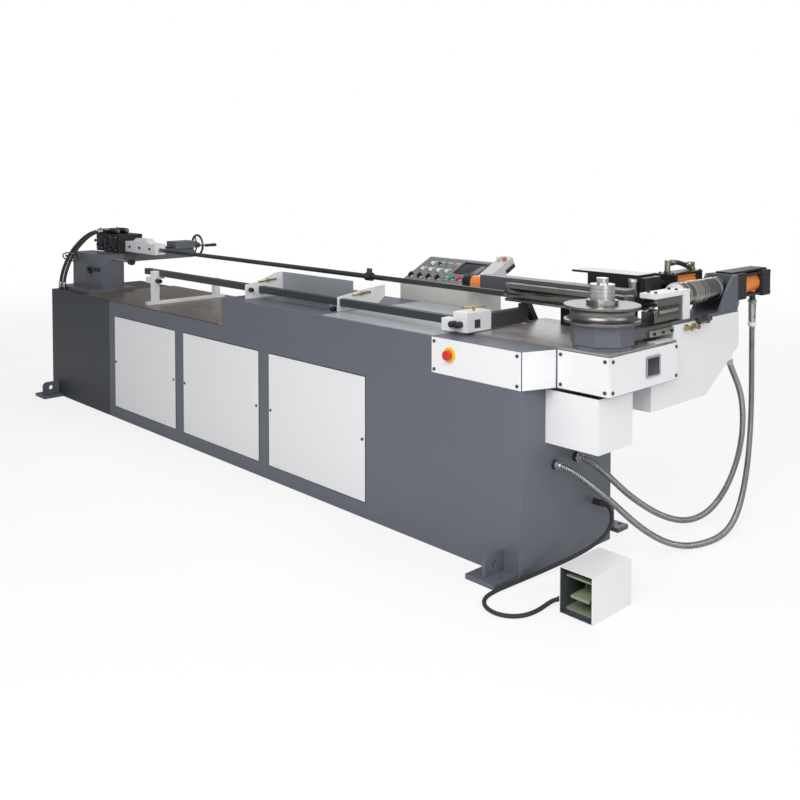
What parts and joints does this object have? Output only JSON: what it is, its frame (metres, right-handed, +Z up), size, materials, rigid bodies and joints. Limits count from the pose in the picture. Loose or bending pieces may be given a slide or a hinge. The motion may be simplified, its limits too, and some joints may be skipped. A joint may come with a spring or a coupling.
{
  "type": "pipe bending machine",
  "caption": "Floor-standing hydraulic mandrel tube bender: box bed, swinging bend arm with clamp, pressure die, mandrel rod, length gauge, sloped console and foot switch.",
  "frame": {"origin": "on the floor at the centre of the four anchor holes", "axes": "+X along the bed to the bend head, +Y away from the operator, +Z up"},
  "size_m": [4.661, 1.885, 1.189],
  "materials": {
    "bed_paint": "satin slate paint",
    "tail_paint": "satin charcoal paint",
    "white_paint": "satin white powder coat",
    "cream_paint": "satin cream powder coat",
    "machined_steel": "machined and oiled",
    "arm_paint": "gloss slate paint",
    "black_paint": "black paint",
    "ram_orange": "gloss orange enamel",
    "grey_plate": "light grey paint",
    "wheel_chrome": "polished",
    "conduit_grey": "ribbed grey conduit",
    "black_rubber": "smooth",
    "screw_black": "black oxide",
    "gland_black": "moulded",
    "panel_dark": "dark overlay",
    "button_green": "gloss",
    "button_red": "gloss",
    "ring_yellow": "gloss",
    "selector_black": "satin",
    "switch_green": "green enamel",
    "tank_paint": "grey paint"
  },
  "bodies": {
    "bed": {"bed_cabinet": "bed_paint", "deck_frame": "bed_paint", "anchor_feet": "bed_paint", "tail_cabinet": "tail_paint", "access_panels": "white_paint", "skirt_panels": "white_paint", "spindle_guard_box": "white_paint", "gauge_support": "white_paint", "stock_tray": "white_paint", "foot_switch_guard": "white_paint", "console_body": "cream_paint", "top_plates": "machined_steel", "spindle_bearings": "machined_steel", "bend_chain": "machined_steel", "tail_bracket": "arm_paint", "cross_beam": "arm_paint", "spindle_housing": "arm_paint", "pressure_base": "black_paint", "gauge_bar": "black_paint", "pressure_cylinder": "ram_orange", "bend_cylinder": "ram_orange", "conduit_to_clamp": "conduit_grey", "conduit_to_arm": "conduit_grey", "foot_cable": "black_rubber", "tail_hoses": "black_rubber", "pressure_hoses": "black_rubber", "panel_screws": "screw_black", "cord_glands": "gland_black", "console_panel": "panel_dark", "estop_ring": "ring_yellow", "foot_switch_body": "switch_green", "oil_tank": "tank_paint", "pump_unit": "tank_paint"},
    "arm": {"swing_arm": "arm_paint", "arm_housing": "white_paint", "clamp_cylinder": "ram_orange", "main_spindle": "machined_steel", "bend_die": "machined_steel", "drive_sprocket": "machined_steel"},
    "clamp": {"clamp_slide": "white_paint", "clamp_die": "machined_steel"},
    "yoke": {"chain_yoke": "machined_steel"},
    "idler": {"idler_sprocket": "machined_steel"},
    "pressure": {"pressure_slide": "arm_paint", "pressure_top_plate": "grey_plate", "boost_cylinder": "ram_orange"},
    "pressure_die": {"pressure_die": "machined_steel"},
    "carriage": {"mandrel_carriage": "black_paint"},
    "mandrel": {"mandrel_clevis": "white_paint", "mandrel_rod": "machined_steel"},
    "handwheel": {"handwheel": "wheel_chrome"},
    "gauge": {"gauge_carriage": "white_paint"},
    "estop": {"estop_button": "button_red"},
    "start": {"start_button": "button_green"},
    "stop": {"stop_button": "button_red"},
    "pedal": {"foot_pedal": "switch_green"},
    "selector_1": {"selector_1": "selector_black"},
    "selector_2": {"selector_2": "selector_black"},
    "selector_3": {"selector_3": "selector_black"},
    "selector_4": {"selector_4": "selector_black"}
  },
  "joints": [
    {"name": "arm_swing", "type": "hinge", "parent": "bed", "child": "arm", "pos_m": [2.31, -0.075, 0.925], "axis": [0, 0, -1], "range_deg": [0, 179], "deforming": ["conduit_to_clamp", "conduit_to_arm", "bend_chain"]},
    {"name": "clamp_close", "type": "slide", "parent": "arm", "child": "clamp", "axis": [0, 1, 0], "range_m": [-0.124, 0.015]},
    {"name": "chain_pull", "type": "slide", "parent": "bed", "child": "yoke", "axis": [-1, 0, 0], "range_m": [0, 0.2719]},
    {"name": "idler_spin", "type": "hinge", "parent": "bed", "child": "idler", "pos_m": [1.13, -0.075, 0.8], "axis": [0, 0, -1], "range_deg": [0, 179]},
    {"name": "pressure_close", "type": "slide", "parent": "bed", "child": "pressure", "axis": [0, 1, 0], "range_m": [-0.019, 0.03]},
    {"name": "boost_travel", "type": "slide", "parent": "pressure", "child": "pressure_die", "axis": [1, 0, 0], "range_m": [-0.2, 0]},
    {"name": "mandrel_cross", "type": "slide", "parent": "bed", "child": "carriage", "axis": [0, 1, 0], "range_m": [-0.08, 0.01], "deforming": ["tail_hoses"]},
    {"name": "mandrel_extract", "type": "slide", "parent": "carriage", "child": "mandrel", "axis": [1, 0, 0], "range_m": [0, 0.1]},
    {"name": "handwheel_turn", "type": "hinge", "parent": "bed", "child": "handwheel", "pos_m": [-1.855, 0.68, 1.016], "axis": [0, 1, 0], "range_deg": [-2881, 361]},
    {"name": "gauge_travel", "type": "slide", "parent": "bed", "child": "gauge", "axis": [1, 0, 0], "range_m": [-0.55, 0]},
    {"name": "estop_press", "type": "slide", "parent": "bed", "child": "estop", "axis": [0, 1, 0], "range_m": [0, 0.005]},
    {"name": "start_press", "type": "slide", "parent": "bed", "child": "start", "axis": [0, 0.4457, -0.8952], "range_m": [0, 0.004], "stiffness_N_per_m": 500, "springref_m": -0.002},
    {"name": "stop_press", "type": "slide", "parent": "bed", "child": "stop", "axis": [0, 0.4457, -0.8952], "range_m": [0, 0.004], "stiffness_N_per_m": 500, "springref_m": -0.002},
    {"name": "pedal_press", "type": "hinge", "parent": "bed", "child": "pedal", "pos_m": [2.46, -0.27, 0.063], "axis": [1, 0, 0], "range_deg": [0, 12], "stiffness_Nm_per_rad": 6, "springref_deg": -14.32},
    {"name": "selector_1_turn", "type": "hinge", "parent": "bed", "child": "selector_1", "pos_m": [0.76, 0.40371, 1.02174], "axis": [0, -0.4457, 0.8952], "range_deg": [-45, 45]},
    {"name": "selector_2_turn", "type": "hinge", "parent": "bed", "child": "selector_2", "pos_m": [0.826, 0.40371, 1.02174], "axis": [0, -0.4457, 0.8952], "range_deg": [-45, 45]},
    {"name": "selector_3_turn", "type": "hinge", "parent": "bed", "child": "selector_3", "pos_m": [0.892, 0.40371, 1.02174], "axis": [0, -0.4457, 0.8952], "range_deg": [-45, 45]},
    {"name": "selector_4_turn", "type": "hinge", "parent": "bed", "child": "selector_4", "pos_m": [0.958, 0.40371, 1.02174], "axis": [0, -0.4457, 0.8952], "range_deg": [-45, 45]}
  ],
  "couplings": [
    {"joint": "chain_pull", "follows": "arm_swing", "m_per_rad": 0.087},
    {"joint": "idler_spin", "follows": "arm_swing", "ratio": 1},
    {"joint": "handwheel_turn", "follows": "mandrel_cross", "rad_per_m": 628.32}
  ]
}
